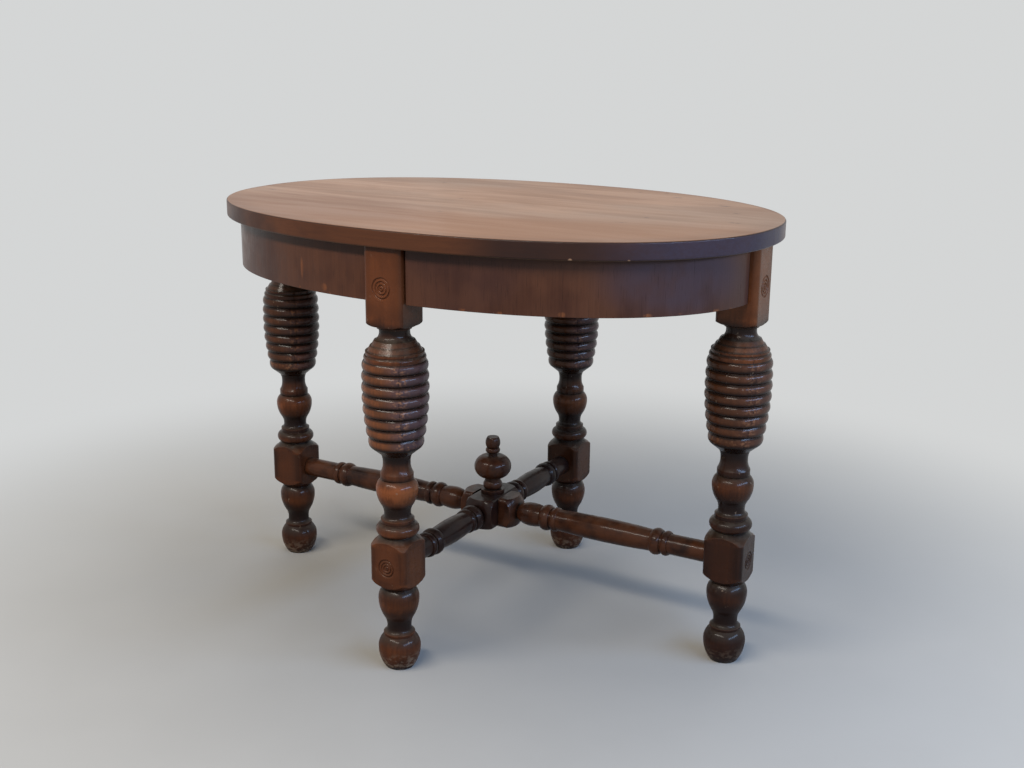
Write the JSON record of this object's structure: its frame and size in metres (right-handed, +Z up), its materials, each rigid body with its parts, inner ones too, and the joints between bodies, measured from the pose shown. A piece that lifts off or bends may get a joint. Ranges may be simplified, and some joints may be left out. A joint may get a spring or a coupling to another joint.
{
  "type": "side table",
  "caption": "Oval wooden side table on ring-turned legs at the ends of the oval's axes, with a curved apron and crossed turned stretchers that carry a finial.",
  "frame": {"origin": "on the floor under the middle of the oval top", "axes": "+Z up from the floor, +X along the oval's length, -Y out of the front"},
  "size_m": [0.776, 0.539, 0.559],
  "materials": {
    "top_wood": "worn satin varnish, faded brown",
    "leg_wood": "dark stained, waxed, rubbed on the edges",
    "apron_wood": "dark stained, satin, upright grain",
    "stretcher_wood": "dark stained, waxed",
    "block_wood": "unfinished secondary wood",
    "peg_wood": "unfinished",
    "screw_steel": "dull"
  },
  "bodies": {
    "root": {"apron_back_left": "apron_wood", "apron_back_right": "apron_wood", "apron_front_left": "apron_wood", "apron_front_right": "apron_wood", "corner_block_back_1": "block_wood", "corner_block_back_2": "block_wood", "corner_block_front_1": "block_wood", "corner_block_front_2": "block_wood", "corner_block_left_1": "block_wood", "corner_block_left_2": "block_wood", "corner_block_right_1": "block_wood", "corner_block_right_2": "block_wood", "finial": "stretcher_wood", "leg_back": "leg_wood", "leg_front": "leg_wood", "leg_left": "leg_wood", "leg_right": "leg_wood", "long_stretcher": "stretcher_wood", "short_stretcher": "stretcher_wood", "tenon_pegs": "peg_wood", "top": "top_wood", "top_block_back_left_1": "block_wood", "top_block_back_left_2": "block_wood", "top_block_back_right_1": "block_wood", "top_block_back_right_2": "block_wood", "top_block_front_left_1": "block_wood", "top_block_front_left_2": "block_wood", "top_block_front_right_1": "block_wood", "top_block_front_right_2": "block_wood", "top_screws": "screw_steel"}
  },
  "joints": []
}
